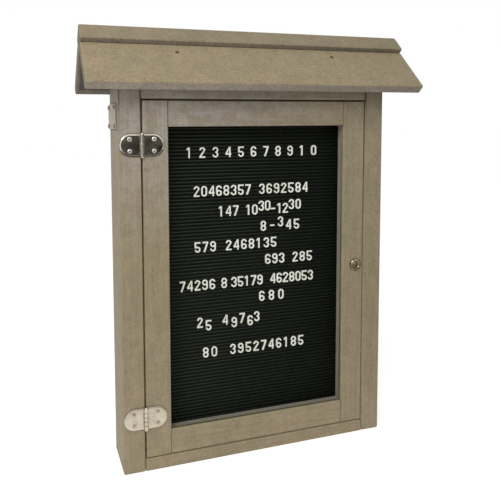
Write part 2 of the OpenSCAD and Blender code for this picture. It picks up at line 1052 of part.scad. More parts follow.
module bar(x1, y1, x2, y2) {
  translate([x1, y1])
    square([x2 - x1, y2 - y1]);
}

module ring(y) {
  translate([0, y])
    difference() {
      circle(bowl);
      circle(bowl - stroke);
    }
}

module oval() {
  difference() {
    union() {
      translate([0, low_c])
        circle(bowl);
      translate([0, high_c])
        circle(bowl);
      bar(-bowl, low_c, bowl, high_c);
    }
    translate([0, low_c])
      circle(bowl - stroke);
    translate([0, high_c])
      circle(bowl - stroke);
    bar(-bowl + stroke, low_c, bowl - stroke, high_c);
  }
}

module shape_two() {
  intersection() {
    ring(high_c);
    bar(-bowl, high_c, bowl, digit_h);
  }
  polygon([
    [bowl - stroke, high_c + eps],
    [bowl, high_c + eps],
    [-bowl + 1.3 * stroke, stroke - eps],
    [-bowl, stroke - eps]
  ]);
  bar(-bowl, 0, bowl, stroke);
}

module shape_three() {
  difference() {
    union() {
      ring(low_c);
      ring(high_c);
    }
    bar(-bowl - 1, low_c, 0, high_c);
  }
}

module shape_four() {
  arm = digit_h * 0.24;
  post = bowl * 0.3;
  bar(post, 0, post + stroke, digit_h);
  bar(-bowl, arm, bowl, arm + stroke);
  polygon([
    [-bowl, arm + stroke - eps],
    [-bowl + 1.2 * stroke, arm + stroke - eps],
    [post + eps, digit_h - stroke],
    [post + eps, digit_h]
  ]);
}

module shape_five() {
  bar(-bowl, digit_h - stroke, bowl, digit_h);
  bar(-bowl, 2 * low_c - stroke, -bowl + stroke, digit_h);
  bar(-bowl, 2 * low_c - stroke, 0, 2 * low_c);
  difference() {
    ring(low_c);
    bar(-bowl - 1, low_c, 0, 2 * low_c);
  }
}

module shape_six() {
  ring(low_c);
  difference() {
    oval();
    bar(0, low_c, bowl + 1, high_c);
  }
}

module shape_seven() {
  bar(-bowl, digit_h - stroke, bowl, digit_h);
  polygon([
    [bowl - 1.2 * stroke, digit_h - stroke + eps],
    [bowl, digit_h - stroke + eps],
    [-0.1 * bowl, 0],
    [-0.1 * bowl - 1.1 * stroke, 0]
  ]);
}

module shape_one() {
  bar(-stroke / 2, 0, stroke / 2, digit_h);
  polygon([
    [-stroke / 2 + eps, digit_h],
    [-stroke / 2 + eps, digit_h - 1.3 * stroke],
    [-1.7 * stroke, digit_h - 2 * stroke],
    [-1.7 * stroke, digit_h - 0.9 * stroke]
  ]);
}

module glyph(d) {
  if (d == 0) oval();
  if (d == 1) shape_one();
  if (d == 2) shape_two();
  if (d == 3) shape_three();
  if (d == 4) shape_four();
  if (d == 5) shape_five();
  if (d == 6) shape_six();
  if (d == 7) shape_seven();
  if (d == 8) {
    ring(low_c);
    ring(high_c);
  }
  if (d == 9)
    translate([0, digit_h])
      rotate(180)
        shape_six();
  if (d == dash) bar(-bowl * 0.8, (digit_h - stroke) / 2, bowl * 0.8, (digit_h + stroke) / 2);
}

// Sideways places of the pegs behind each numeral, low and high, in parts of its half width
low_peg = [0.62, 0, -0.62, 0.62, 0.54, 0.62, 0.62, -0.3, 0.62, 0.62, 0];
high_peg = [0.62, 0, 0.62, 0.62, 0.54, -0.75, -0.62, 0.5, 0.62, 0.62, 0];

// One numeral with its middle at x, its lower peg in the groove that lies row grooves down
module numeral(d, x, row) {
  foot = groove_top - row * groove_pitch;
  peg = 0.72 * groove_w;
  translate([x, panel_y, foot - groove_pitch / 2])
    rotate([90, 0, 0])
      linear_extrude(digit_t)
        glyph(d);
  if (d < dash)
    for (tooth = [[low_peg[d], 0], [high_peg[d], 2]])
      translate([x + tooth[0] * bowl, panel_y - digit_t / 2, foot + tooth[1] * groove_pitch])
        translate([-peg / 2, 0, -peg / 2])
          cube([peg, digit_t / 2 + 0.8 * groove_depth, peg]);
}

// A run of numerals: its first place is counted in steps from the panel's middle
module run(digits, place, row, gap = 1) {
  color([0.95, 0.95, 0.92])
    for (k = [0:len(digits) - 1])
      numeral(digits[k], (place + k * gap) * digit_step, row);
}

module numerals_heading() {
  run([1, 2, 3, 4, 5, 6, 7, 8, 9, 1, 0], -8.66, 14, 1.745);
}

module numerals_upper() {
  run([2, 0, 4, 6, 8, 3, 5, 7], -7.71, 25);
  run([3, 6, 9, 2, 5, 8, 4], 1.25, 25, 1.05);
  run([1, 4, 7], -4.42, 31);
  run([1, 0], -0.63, 31, 0.88);
  run([3, 0], 1.16, 30, 0.92);
  run([dash], 2.86, 31);
  run([1, 2], 3.8, 31, 0.85);
  run([3, 0], 5.53, 30);
}

module numerals_middle() {
  run([8], 1.46, 36);
  run([dash], 2.75, 36);
  run([3], 3.94, 35);
  run([4, 5], 5.14, 36, 1.16);
  run([5, 7, 9], -7.64, 41, 1.04);
  run([2, 4, 6, 8, 1, 3, 5], -3.41, 41, 1.06);
  run([6], 2.11, 46);
  run([9, 3], 3.13, 46);
  run([2, 8, 5], 6.13, 46, 1.06);
}

module numerals_lower() {
  run([7, 4, 2, 9, 6], -9.68, 52);
  run([8], -4.06, 52);
  run([3, 5, 1, 7, 9], -2.7, 52, 0.92);
  run([4, 6, 2, 8, 0, 5, 3], 2.85, 52, 0.93);
  run([6, 8, 0], 1.26, 57, 1.39);
  run([2], -7.39, 63);
  run([5], -6.22, 64);
  run([4], -3.92, 63);
  run([9], -2.68, 64);
  run([7], -1.57, 63);
  run([6], -0.42, 64);
  run([3], 0.52, 63);
  run([8, 0], -6.63, 72, 1.17);
  run([3, 9, 5, 2, 7, 4, 6, 1, 8, 5], -2.87, 72, 1.1);
}

side_board_left();
side_board_right();
bottom_board();
top_board();
back_panel();
batten(-1);  // batten_left
batten(1);  // batten_right
letter_panel();
door_stop_left();
door_stop_right_upper();
door_stop_right_lower();
door_stop_top();
door_stop_bottom();
roof_board(-1);  // roof_board_front
roof_board(1);  // roof_board_rear
ridge_beam();
roof_block(-1);  // roof_block_left
roof_block(1);  // roof_block_right
side_plate(-1);  // side_plate_left
side_plate(1);  // side_plate_right
plate_screws();
roof_screws();
case_screws();
back_screws();
stop_screws();
hinge_upper_case_leaf();
hinge_upper_pin();
hinge_lower_case_leaf();
hinge_lower_pin();
hinge_case_screws();
numerals_heading();
numerals_upper();
numerals_middle();
numerals_lower();
door_stile_left();
door_stile_right();
door_rail_top();
door_rail_bottom();
glazing();
glazing_strip_left();
glazing_strip_right();
glazing_strip_top();
glazing_strip_bottom();
strip_screws();
door_screws();
hinge_upper_door_leaf();
hinge_lower_door_leaf();
hinge_door_screws();
lock_housing();
lock_nut();
lock_plug();
lock_cam();
cam_bolt();
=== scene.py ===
from math import pi, radians

import bmesh
import bpy
from mathutils import Matrix, Vector


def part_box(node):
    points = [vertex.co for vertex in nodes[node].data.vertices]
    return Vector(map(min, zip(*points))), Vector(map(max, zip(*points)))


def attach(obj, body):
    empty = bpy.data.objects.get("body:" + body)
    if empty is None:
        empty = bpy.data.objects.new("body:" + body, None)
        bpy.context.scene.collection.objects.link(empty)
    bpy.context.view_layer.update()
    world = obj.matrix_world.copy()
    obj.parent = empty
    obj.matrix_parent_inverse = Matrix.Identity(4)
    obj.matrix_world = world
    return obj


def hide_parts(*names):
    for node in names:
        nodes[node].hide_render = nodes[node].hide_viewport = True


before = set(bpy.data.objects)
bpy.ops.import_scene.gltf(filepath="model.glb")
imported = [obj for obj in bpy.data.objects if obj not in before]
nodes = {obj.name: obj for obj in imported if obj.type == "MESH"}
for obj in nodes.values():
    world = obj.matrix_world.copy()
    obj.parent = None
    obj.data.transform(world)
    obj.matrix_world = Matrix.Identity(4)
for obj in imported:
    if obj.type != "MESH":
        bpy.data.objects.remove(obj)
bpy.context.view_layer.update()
scene = bpy.context.scene
mm = 0.001
onPlane = 0.01 * mm  # a vertex this close to a plane lies on it
sameSpot = 0.001 * mm  # vertices this close together become one
print("frame loaded:", len(nodes), "nodes")

cameraLook = {
    "place": (-0.40761, -0.97205, 0.60164),
    "turn": 17.295,  # degrees to the right of straight ahead
    "tilt": 4.185,  # degrees downwards
    "roll": -0.439,
    "lens": 40.594,
    "sensor": 36,
    "shift": (0.1063, -0.1656),
    "nearest": 0.02,
}


def addCamera(look):
    data = bpy.data.cameras.new("camera")
    data.sensor_width = look["sensor"]
    data.lens = look["lens"]
    data.shift_x, data.shift_y = look["shift"]
    data.clip_start = look["nearest"]
    camera = bpy.data.objects.new("camera", data)
    scene.collection.objects.link(camera)
    aim = Matrix.Rotation(-radians(look["turn"]), 4, "Z")
    aim = aim @ Matrix.Rotation(radians(90 - look["tilt"]), 4, "X")
    aim = aim @ Matrix.Rotation(radians(look["roll"]), 4, "Z")
    camera.matrix_world = Matrix.Translation(look["place"]) @ aim
    scene.camera = camera


addCamera(cameraLook)
scene.view_settings.view_transform = "Standard"
print("camera set")


# Shader helpers: a socket is linked, anything else becomes the socket's value
def plug(tree, socket, value):
    if isinstance(value, bpy.types.NodeSocket):
        tree.links.new(value, socket)
    elif isinstance(value, tuple) and len(value) == 3 and socket.type == "RGBA":
        socket.default_value = (*value, 1)
    else:
        socket.default_value = value


def addNode(tree, kind, inputs=None, **settings):
    node = tree.nodes.new("ShaderNode" + kind)
    for name, value in settings.items():
        setattr(node, name, value)
    for name, value in (inputs or {}).items():
        plug(tree, node.inputs[name], value)
    return node


def mixColours(tree, factor, first, second, mode="MIX"):
    node = addNode(tree, "Mix", data_type="RGBA", blend_type=mode)
    for index, value in ((0, factor), (6, first), (7, second)):
        plug(tree, node.inputs[index], value)
    return node.outputs[2]


def calculate(tree, operation, first, second=0.0):
    node = addNode(tree, "Math", operation=operation)
    plug(tree, node.inputs[0], first)
    plug(tree, node.inputs[1], second)
    return node.outputs[0]


def multiply(tree, first, *others):
    for other in others:
        first = calculate(tree, "MULTIPLY", first, other)
    return first


def add(tree, first, second):
    return calculate(tree, "ADD", first, second)


def absolute(tree, value):
    return calculate(tree, "ABSOLUTE", value)


def remap(tree, value, low, high, outLow=0.0, outHigh=1.0):
    inputs = {"Value": value, "From Min": low, "From Max": high,
              "To Min": outLow, "To Max": outHigh}
    return addNode(tree, "MapRange", inputs, interpolation_type="SMOOTHSTEP").outputs[0]


def noise(tree, place, scale, detail=2.0, roughness=0.5):
    inputs = {"Vector": place, "Scale": scale, "Detail": detail, "Roughness": roughness}
    return addNode(tree, "TexNoise", inputs).outputs["Fac"]


def objectPlace(tree, stretch=(1, 1, 1)):
    coords = addNode(tree, "TexCoord").outputs["Object"]
    return addNode(tree, "Mapping", {"Vector": coords, "Scale": stretch}).outputs[0]


def separate(tree, vector):
    return addNode(tree, "SeparateXYZ", {0: vector}).outputs


def darken(tree, colour, level):
    # multiplies a colour by one number
    grey = addNode(tree, "CombineColor", {0: level, 1: level, 2: level}).outputs[0]
    return mixColours(tree, 1.0, colour, grey, "MULTIPLY")


def openness(tree, reach, samples):
    # 1 in the open and less where other surfaces are within reach
    node = addNode(tree, "AmbientOcclusion", {"Distance": reach}, samples=samples)
    return node.outputs["AO"]


def edgeMask(tree, radius):
    # 1 along the edges of a piece and 0 on its flats
    rounded = addNode(tree, "Bevel", {"Radius": radius}, samples=6).outputs[0]
    flat = addNode(tree, "NewGeometry").outputs["Normal"]
    dot = addNode(tree, "VectorMath", {0: rounded, 1: flat}, operation="DOT_PRODUCT")
    return remap(tree, dot.outputs["Value"], 0.995, 0.86)


def startMaterial(name):
    material = bpy.data.materials.new(name)
    material.use_nodes = True
    tree = material.node_tree
    tree.nodes.clear()
    shader = addNode(tree, "BsdfPrincipled")
    output = addNode(tree, "OutputMaterial")
    tree.links.new(shader.outputs[0], output.inputs["Surface"])
    return material, tree, shader


def finishShader(tree, shader, colour, roughness, height, depth, **fixed):
    plug(tree, shader.inputs["Base Color"], colour)
    plug(tree, shader.inputs["Roughness"], roughness)
    bump = addNode(tree, "Bump", {"Height": height, "Distance": depth, "Strength": 1.0})
    tree.links.new(bump.outputs[0], shader.inputs["Normal"])
    for name, value in fixed.items():
        shader.inputs[name].default_value = value


# Plastic lumber: a speckled, brushed skin whose grain runs along the board
caseLumber = {
    "body": (0.304, 0.247, 0.160),
    "warm": (0.319, 0.249, 0.158),
    "green": (0.291, 0.244, 0.148),
    "grey": (0.340, 0.303, 0.266),  # bleached by the sun, and lighter as painted light from the upper left
    "dark": (0.135, 0.110, 0.072),
    "worn": (0.400, 0.350, 0.265),
    "sawn": (0.235, 0.195, 0.130),
    "under": (0.270, 0.230, 0.160),  # painted shade on faces that look down, and on their rims
    "underRim": (0.270, 0.230, 0.160),
    "underRight": 0.95,  # painted shade: how light the underside still is at its right end
    "lowLift": 1.11,  # painted light: how much lighter the foot is
    "eavesShade": 0.86,  # painted shadow of the roof: how light it is close under the roof
    # painted shade towards the right end
    "rightShade": 0.95,
    "greyFrom": 0.36,  # height in metres where the grey of bleaching and painted light begins, and where it is full
    "greyTo": 0.66,
    "gap": (0.700, 0.580, 0.400),  # painted light inside narrow gaps, which lie in shade
    "gapReach": 6 * mm,
    "jointReach": 3 * mm,  # how far the dirt and painted shade reach from the joints
    "streaks": 0.34,  # how strongly the drawn lines, the speckle and the blotches show
    "speckle": 0.50,
    "blotches": 0.75,
}
# On the roof, the front board's downward faces take painted light, and the darker right ends, the
# dark sawn ends and the darker colour in narrow gaps are painted shade
roofLumber = {
    "body": (0.318, 0.256, 0.162),
    "warm": (0.340, 0.262, 0.158),
    "green": (0.300, 0.256, 0.150),
    "grey": (0.330, 0.285, 0.205),
    "dark": (0.150, 0.118, 0.074),
    "worn": (0.440, 0.375, 0.270),
    "sawn": (0.105, 0.090, 0.058),
    "under": (0.345, 0.292, 0.232),
    "underRim": (0.345, 0.292, 0.232),
    "underRight": 0.76,
    "lowLift": 1.0,
    "eavesShade": 1.0,
    "rightShade": 0.95,
    "greyFrom": 0.60,
    "greyTo": 1.40,
    "gap": (0.240, 0.200, 0.130),
    "gapReach": 3 * mm,
    "jointReach": 1 * mm,
    "streaks": 0.08,
    "speckle": 0.80,
    "blotches": 0.80,
}
beamLumber = dict(roofLumber, body=(0.268, 0.218, 0.138), warm=(0.280, 0.222, 0.140),
                  green=(0.257, 0.220, 0.134), under=(0.240, 0.200, 0.150),
                  underRim=(0.240, 0.200, 0.150))
# painted shade on the rear board's underside, lighter along its lower edge and left end
rearLumber = dict(roofLumber, under=(0.110, 0.095, 0.073), underRim=(0.205, 0.180, 0.144))

# The noises in the lumber: scale, detail and roughness
lumberNoises = {
    "streaks": (240, 4, 0.6),
    "speckle": (230, 4, 0.65),
    "grain": (620, 2, 0.6),
    "clouds": (13, 3, 0.55),
    "patches": (42, 3, 0.6),
}
lumberGrain = {
    "drawn": 0.05,  # the streaks' scale along the board
    "fleckScale": 190.0,
    "edgeReach": 3 * mm,
    "bump": 0.32 * mm,
    "shine": 0.30,
}
# Where on the object each change begins and is complete, in metres
lumberPlaces = {
    "greyAcross": (0.24, -0.16),
    "footUp": (0.26, 0.02),
    "eavesUp": (0.57, 0.63),
    "eavesAcross": (-0.20, -0.06),
    "rightAcross": (0.12, 0.25),
    "underAcross": (-0.10, 0.28),
    "gapUp": (0.62, 0.36),
    "rimUp": (0.6695, 0.6655),
    "rimAcross": (0.3035, 0.3065),
}


def lumberMarks(tree, along):
    # the noises, the place on the object and the way the surface faces
    stretch = tuple(lumberGrain["drawn"] if axis == along else 1.0 for axis in "xyz")
    place = objectPlace(tree)
    drawn = objectPlace(tree, stretch)
    marks = {key: noise(tree, drawn if key == "streaks" else place, *values)
             for key, values in lumberNoises.items()}
    flecks = addNode(tree, "TexVoronoi", {"Vector": place, "Scale": lumberGrain["fleckScale"]})
    marks["flecks"] = flecks.outputs["Distance"]
    marks["place"] = separate(tree, place)
    marks["facing"] = separate(tree, addNode(tree, "NewGeometry").outputs["Normal"])
    return marks


def lumberBody(tree, look, marks):
    # the recycled mix of browns, with grey high up and on the left that is partly sun bleaching and
    # partly painted light
    place = marks["place"]
    colour = mixColours(tree, remap(tree, marks["clouds"], 0.40, 0.62), look["green"], look["warm"])
    colour = mixColours(tree, 0.30, colour, look["body"])
    sideways = absolute(tree, marks["facing"]["X"])
    bleachAndPaintedLight = multiply(tree, remap(tree, place["Z"], look["greyFrom"], look["greyTo"], 0.0, 0.95),
                      remap(tree, place["X"], *lumberPlaces["greyAcross"], 0.10, 1.0),
                      remap(tree, marks["patches"], 0.32, 0.58, 0.40, 1.0),
                      remap(tree, sideways, 0.5, 0.9, 1.0, 0.55))
    return mixColours(tree, bleachAndPaintedLight, colour, look["grey"])


def lumberShade(tree, look, marks):
    # blotches, drawn lines and speckle, as one number around 1
    blotches = multiply(tree, remap(tree, marks["patches"], 0.36, 0.66, -0.07, 0.07),
                        look["blotches"])
    lines = multiply(tree, remap(tree, marks["streaks"], 0.36, 0.64, -0.22, 0.16), look["streaks"])
    spots = multiply(tree, remap(tree, marks["speckle"], 0.36, 0.66, -0.20, 0.18), look["speckle"])
    return add(tree, add(tree, blotches, lines), add(tree, spots, 1.0))


def lumberLevel(tree, look, place):
    # painted light and shade: the foot is lighter, the top under the roof (the roof's painted
    # shadow) and the far right are darker
    foot = remap(tree, place["Z"], *lumberPlaces["footUp"], 1.0, look["lowLift"])
    eaves = multiply(tree, remap(tree, place["Z"], *lumberPlaces["eavesUp"]),
                     remap(tree, place["X"], *lumberPlaces["eavesAcross"]))
    eaves = remap(tree, eaves, 0.0, 1.0, 1.0, look["eavesShade"])
    right = remap(tree, place["X"], *lumberPlaces["rightAcross"], 1.0, look["rightShade"])
    return multiply(tree, foot, eaves, right)


def lumberUnderside(tree, look, place, shade):
    # painted shade on faces that look down (painted light on the roof's front board), darker away
    # from their rim and towards the right
    rim = calculate(tree, "MAXIMUM", remap(tree, place["Z"], *lumberPlaces["rimUp"]),
                    remap(tree, absolute(tree, place["X"]), *lumberPlaces["rimAcross"]))
    colour = mixColours(tree, rim, look["under"], look["underRim"])
    colour = darken(tree, colour, shade)
    dimmer = remap(tree, place["X"], *lumberPlaces["underAcross"], 1.0, look["underRight"])
    return darken(tree, colour, dimmer)


def lumberJoints(tree, look, place, colour):
    # dirt and painted shade in the joints, by how enclosed they are, and painted light inside
    # narrow gaps, more so low down
    jointDirtAndShade = openness(tree, look["jointReach"], 4)
    colour = mixColours(tree, remap(tree, jointDirtAndShade, 0.98, 0.66, 0.0, 0.95), colour, look["dark"])
    nook = openness(tree, look["gapReach"], 4)
    gap = multiply(tree, remap(tree, nook, 0.50, 0.15),
                   remap(tree, place["Z"], *lumberPlaces["gapUp"], 0.15, 1.0))
    return mixColours(tree, gap, colour, look["gap"])


def makeLumber(name, look, along):
    material, tree, shader = startMaterial(name)
    marks = lumberMarks(tree, along)
    place, facing, speckle = marks["place"], marks["facing"], marks["speckle"]
    shade = lumberShade(tree, look, marks)
    colour = darken(tree, lumberBody(tree, look, marks), shade)
    worn = remap(tree, marks["grain"], 0.56, 0.80, 0.0, 0.30)
    colour = mixColours(tree, worn, colour, look["worn"])
    flecks = remap(tree, marks["flecks"], 0.16, 0.05, 0.0, 0.45)
    colour = mixColours(tree, flecks, colour, look["dark"])
    # painted light at the foot, painted shadow under the roof and painted shade at the right end
    colour = darken(tree, colour, lumberLevel(tree, look, place))
    # faces that look down take painted light and shade
    down = remap(tree, facing["Z"], -0.30, -0.60)
    colour = mixColours(tree, down, colour, lumberUnderside(tree, look, place, shade))

    # the sawn ends are darker than the drawn skin
    # the dark end colour on the roof is painted shade
    endFace = remap(tree, absolute(tree, facing[along.upper()]), 0.86, 0.97)
    sawn = multiply(tree, endFace, remap(tree, speckle, 0.3, 0.6, 0.95, 0.6))
    colour = mixColours(tree, sawn, colour, look["sawn"])
    colour = lumberJoints(tree, look, place, colour)

    # handling and weather have rubbed the long edges light
    rubbed = multiply(tree, edgeMask(tree, lumberGrain["edgeReach"]),
                      remap(tree, speckle, 0.35, 0.60, 0.12, 0.42),
                      remap(tree, endFace, 0.0, 1.0, 1.0, 0.25))
    colour = mixColours(tree, rubbed, colour, look["worn"])
    roughness = remap(tree, speckle, 0.30, 0.70, 0.54, 0.72)
    relief = add(tree, multiply(tree, marks["streaks"], look["streaks"]), marks["grain"])
    relief = add(tree, relief, multiply(tree, speckle, 1.2))
    finishShader(tree, shader, colour, roughness, relief, lumberGrain["bump"],
                 **{"Specular IOR Level": lumberGrain["shine"]})
    return material


caseAlongX = makeLumber("case_lumber_level", caseLumber, "x")
caseAlongZ = makeLumber("case_lumber_upright", caseLumber, "z")
roofAlongX = makeLumber("roof_lumber_level", roofLumber, "x")
roofRear = makeLumber("roof_lumber_rear", rearLumber, "x")
beamAlongX = makeLumber("roof_lumber_beam", beamLumber, "x")

# Letter panel: matt black, with a painted highlight on the lips of the grooves
panelLook = {
    "black": (0.0030, 0.0046, 0.0027),
    "dusty": (0.044, 0.048, 0.036),
    "roughness": (0.70, 0.90),
    "shine": 0.12,
    "topGroove": 636.625 * mm,  # height of the middle of the top groove
    "pitch": 6.35 * mm,
    "highlightAcross": (-0.15, 0.17),  # the painted highlight fades from the left to the right, in metres
    "dimRight": 0.28,  # how much of it is left at the right end
    "fine": (600, 3, 0.6),
    "broad": (9, 2, 0.5),
    "bump": 0.08 * mm,
}


def makePanel(look):
    material, tree, shader = startMaterial("black_panel_ribbed")
    fine = noise(tree, objectPlace(tree, (0.15, 1, 1)), *look["fine"])
    broad = noise(tree, objectPlace(tree), *look["broad"])
    place = separate(tree, objectPlace(tree))
    # a painted highlight lies along the upper edge of each land between two grooves
    step = calculate(tree, "SUBTRACT", place["Z"], look["topGroove"])
    step = calculate(tree, "FRACT", calculate(tree, "DIVIDE", step, look["pitch"]))
    highlightMask = multiply(tree, remap(tree, step, 0.42, 0.78),
                    remap(tree, fine, 0.30, 0.65, 0.7, 1.0),
                    remap(tree, broad, 0.25, 0.75, 0.75, 1.0),
                    remap(tree, place["X"], *look["highlightAcross"], 1.0, look["dimRight"]))
    colour = mixColours(tree, highlightMask, look["black"], look["dusty"])
    roughness = remap(tree, fine, 0.30, 0.70, *look["roughness"])
    finishShader(tree, shader, colour, roughness, fine, look["bump"],
                 **{"Specular IOR Level": look["shine"]})
    return material


panelBlack = makePanel(panelLook)

numeralLook = {
    "white": (0.92, 0.90, 0.83),
    "aged": (0.80, 0.78, 0.68),
    "roughness": (0.30, 0.48),
    "broad": (26, 2, 0.5),
    "fine": (900, 2, 0.5),
    "bump": 0.03 * mm,
}


def makeNumeralPlastic(look):
    material, tree, shader = startMaterial("white_numeral_plastic")
    place = objectPlace(tree)
    broad = noise(tree, place, *look["broad"])
    fine = noise(tree, place, *look["fine"])
    colour = mixColours(tree, remap(tree, broad, 0.35, 0.75), look["white"], look["aged"])
    roughness = remap(tree, fine, 0.30, 0.70, *look["roughness"])
    finishShader(tree, shader, colour, roughness, fine, look["bump"])
    return material


numeralWhite = makeNumeralPlastic(numeralLook)

glassLook = {
    "tint": (0.965, 0.985, 0.975),
    "smudge": (0.93, 0.95, 0.94),
    "roughness": (0.0, 0.012),
    "clearness": 1.0,
    "bend": 1.01,  # an anti-reflection sheet, so well below plain glass
    "wipes": (30, 3, 0.6),
    "wiped": (1, 1, 0.35),  # the wipes run up and down
    "ripples": (5, 1, 0.4),
    "bump": 0.02 * mm,
}


def makeGlass(look):
    material, tree, shader = startMaterial("clear_sheet_antiglare")
    wipes = noise(tree, objectPlace(tree, look["wiped"]), *look["wipes"])
    colour = mixColours(tree, remap(tree, wipes, 0.55, 0.85), look["tint"], look["smudge"])
    roughness = remap(tree, wipes, 0.45, 0.80, *look["roughness"])
    ripples = noise(tree, objectPlace(tree), *look["ripples"])
    finishShader(tree, shader, colour, roughness, ripples, look["bump"],
                 **{"Transmission Weight": look["clearness"], "IOR": look["bend"]})
    return material


clearSheet = makeGlass(glassLook)

# Metals: two colours, the roughness range, how deep the scratches are and which way they run
metalLooks = {
    "polished": {"colour": (0.66, 0.60, 0.51), "dull": (0.56, 0.50, 0.42), "metal": 1.0,
                 "roughness": (0.08, 0.18), "scratch": 0.03},
    "splashed": {"colour": (0.60, 0.53, 0.43), "dull": (0.49, 0.43, 0.345), "metal": 1.0,
                 "roughness": (0.30, 0.42), "scratch": 0.04},
    "lock": {"colour": (0.300, 0.250, 0.155), "dull": (0.205, 0.168, 0.100), "metal": 1.0,
             "roughness": (0.14, 0.28), "scratch": 0.03},
    "plate": {"colour": (0.400, 0.350, 0.275), "dull": (0.340, 0.298, 0.230), "metal": 0.2,
              "roughness": (0.42, 0.62), "scratch": 0.05, "stretch": (1, 0.12, 1)},
    "plateScrew": {"colour": (0.26, 0.23, 0.185), "dull": (0.20, 0.175, 0.14), "metal": 0.5,
                   "roughness": (0.36, 0.55), "scratch": 0.04},
    "strip": {"colour": (0.500, 0.455, 0.360), "dull": (0.415, 0.376, 0.298), "metal": 0.4,
              "roughness": (0.40, 0.58), "scratch": 0.05, "stretch": (0.1, 1, 0.1)},
    "zinc": {"colour": (0.60, 0.60, 0.57), "dull": (0.40, 0.40, 0.37), "metal": 1.0,
             "roughness": (0.28, 0.50), "scratch": 0.04},
    "screw": {"colour": (0.66, 0.62, 0.55), "dull": (0.48, 0.44, 0.38), "metal": 1.0,
              "roughness": (0.18, 0.36), "scratch": 0.03},
    "splashedScrew": {"colour": (0.50, 0.440, 0.355), "dull": (0.40, 0.350, 0.280), "metal": 1.0,
                      "roughness": (0.34, 0.50), "scratch": 0.04},
    "darkScrew": {"colour": (0.140, 0.110, 0.070), "dull": (0.085, 0.068, 0.044), "metal": 0.4,
                  "roughness": (0.42, 0.60), "scratch": 0.04},
}
metalGrain = {
    "broad": (60, 3, 0.6),
    "scratches": (1400, 3, 0.7),
    "scratchUnit": 0.3 * mm,  # the depth of a scratch of 1
    "edgeReach": 0.6 * mm,
    "edgeShow": 0.5,
    "edgeLift": 1.2,  # how much brighter than the flats the edges are
}
# dirt and painted shade in crevices: colour, reach and the range of openness
dirtAndShadeLook = {"colour": (0.055, 0.044, 0.030), "reach": 1.1 * mm, "open": 0.88, "closed": 0.42}


def makeMetal(name, look):
    material, tree, shader = startMaterial(name)
    broad = noise(tree, objectPlace(tree), *metalGrain["broad"])
    run = objectPlace(tree, look.get("stretch", (1, 1, 1)))
    scratches = noise(tree, run, *metalGrain["scratches"])
    colour = mixColours(tree, remap(tree, broad, 0.40, 0.70), look["colour"], look["dull"])
    edges = multiply(tree, edgeMask(tree, metalGrain["edgeReach"]), metalGrain["edgeShow"])
    lifted = tuple(min(1, metalGrain["edgeLift"] * part) for part in look["colour"])
    colour = mixColours(tree, edges, colour, lifted)
    # dirt and painted shade where surfaces meet, round screw heads and between knuckles
    nook = openness(tree, dirtAndShadeLook["reach"], 8)
    dirtAndShade = remap(tree, nook, dirtAndShadeLook["open"], dirtAndShadeLook["closed"])
    colour = mixColours(tree, dirtAndShade, colour, dirtAndShadeLook["colour"])
    roughness = remap(tree, multiply(tree, broad, scratches), 0.12, 0.40, *look["roughness"])
    finishShader(tree, shader, colour, roughness, scratches,
                 look["scratch"] * metalGrain["scratchUnit"], Metallic=look["metal"])
    return material


metals = {key: makeMetal("metal_" + key, look) for key, look in metalLooks.items()}
print("materials made:", len(bpy.data.materials))

# Which finish each CAD node takes where it stays as it is
finishes = {
    caseAlongX: ["bottom_board", "top_board", "door_rail_top", "door_rail_bottom",
                 "door_stop_top", "door_stop_bottom"],
    caseAlongZ: ["side_board_left", "side_board_right", "back_panel", "batten_left",
                 "batten_right", "door_stop_left", "door_stop_right_upper",
                 "door_stop_right_lower", "door_stile_left", "door_stile_right",
                 "roof_block_left", "roof_block_right"],
    roofAlongX: ["roof_board_front"],
    roofRear: ["roof_board_rear"],
    beamAlongX: ["ridge_beam"],
    panelBlack: ["letter_panel"],
    numeralWhite: ["numerals_heading", "numerals_upper", "numerals_middle", "numerals_lower"],
    clearSheet: ["glazing"],
    metals["strip"]: ["glazing_strip_left", "glazing_strip_right", "glazing_strip_top",
                      "glazing_strip_bottom"],
    metals["plate"]: ["side_plate_left", "side_plate_right"],
    metals["polished"]: ["hinge_upper_case_leaf", "hinge_upper_door_leaf", "hinge_upper_pin"],
    metals["splashed"]: ["hinge_lower_case_leaf", "hinge_lower_door_leaf", "hinge_lower_pin"],
    metals["lock"]: ["lock_housing", "lock_plug"],
    metals["zinc"]: ["lock_nut", "lock_cam", "cam_bolt", "back_screws", "stop_screws"],
    metals["screw"]: ["hinge_case_screws", "hinge_door_screws", "strip_screws"],
    metals["darkScrew"]: ["roof_screws", "case_screws", "door_screws"],
    metals["plateScrew"]: ["plate_screws"],
}


def dressNodes():
    for material, names in finishes.items():
        for name in names:
            for slot in nodes[name].material_slots:
                slot.material = material


dressNodes()
nodes["glazing"].visible_shadow = False
nodes["glazing"].visible_diffuse = False
nodes["glazing"].visible_glossy = False
print("finishes given to", sum(len(names) for names in finishes.values()), "nodes")


# Piece helpers: a shape is a bmesh, its place is in its vertices
def rims(shape, test, sharper):
    # edges where two faces meet at an angle, kept where the test is true of both ends
    return [edge for edge in shape.edges
            if len(edge.link_faces) == 2 and edge.calc_face_angle(0) > radians(sharper)
            and all(test(vert.co) for vert in edge.verts)]


def planeRims(shape, axis, level):
    # the rims of the flat face that lies at this level of the axis
    return rims(shape, lambda co: abs(getattr(co, axis) - level) < onPlane, 60)


def roundEdges(shape, edges, width, segments):
    if edges:
        bmesh.ops.bevel(shape, geom=edges, offset=width, offset_type="OFFSET", segments=segments,
                        profile=0.5, affect="EDGES", material=-1, clamp_overlap=False)


def move(shape, step, verts=None):
    bmesh.ops.translate(shape, vec=step, verts=shape.verts[:] if verts is None else verts)


def newVerts(made):
    return [item for item in made["geom"] if isinstance(item, bmesh.types.BMVert)]


